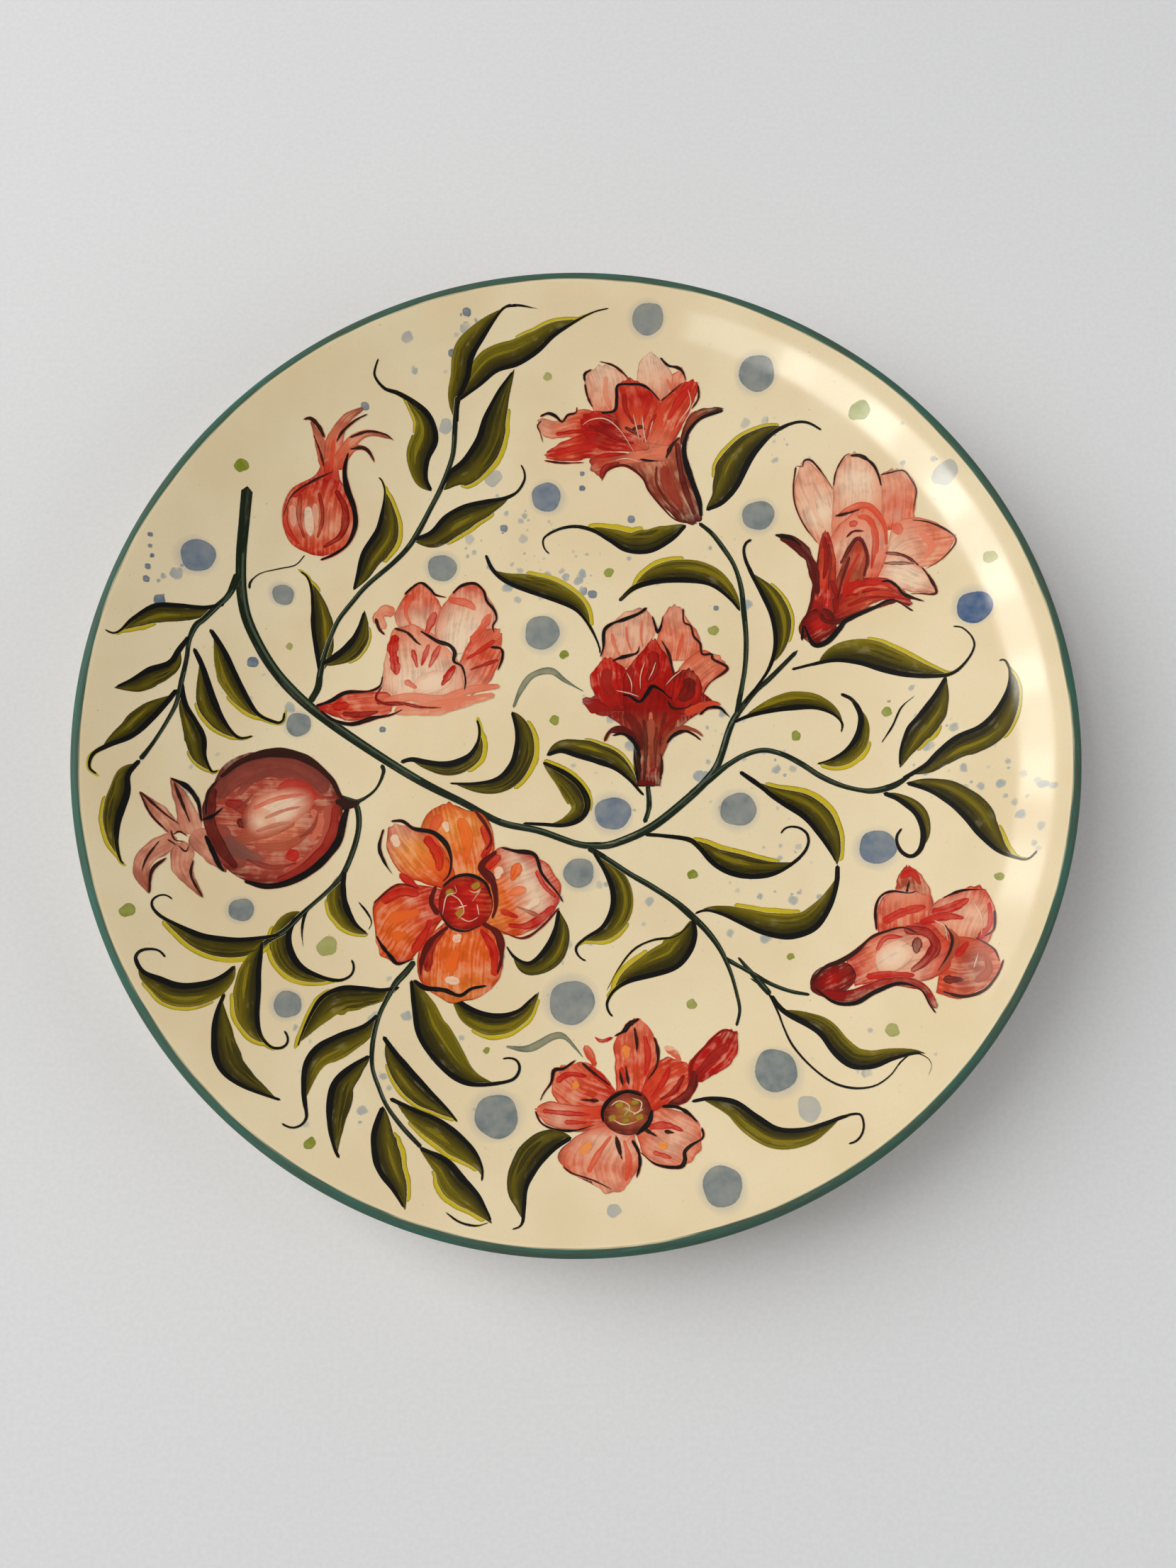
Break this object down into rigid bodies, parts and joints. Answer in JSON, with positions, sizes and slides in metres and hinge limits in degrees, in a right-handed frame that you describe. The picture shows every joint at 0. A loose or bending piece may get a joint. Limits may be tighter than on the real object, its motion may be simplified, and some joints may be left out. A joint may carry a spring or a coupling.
{
  "type": "hand painted ceramic plate",
  "caption": "Shallow round coupe plate of glazed clay with a green lip band, a painted pomegranate branch on its face and a turned foot ring.",
  "frame": {"origin": "on the plate's axis, in the plane that the foot ring stands on", "axes": "+Z is the plate's axis, up out of its face; +Y points to the top of the painting as it is seen the right way up"},
  "size_m": [0.26, 0.26, 0.0271],
  "materials": {
    "bare_clay": "unglazed, fine grained and matt",
    "cream_glaze": "clear gloss over cream clay, faintly speckled",
    "green_band": "brushed deep green under gloss"
  },
  "bodies": {
    "root": {"clay_body": "bare_clay", "face_glaze": "cream_glaze", "rim_band": "green_band", "back_glaze": "cream_glaze", "recess_glaze": "cream_glaze"}
  },
  "joints": []
}
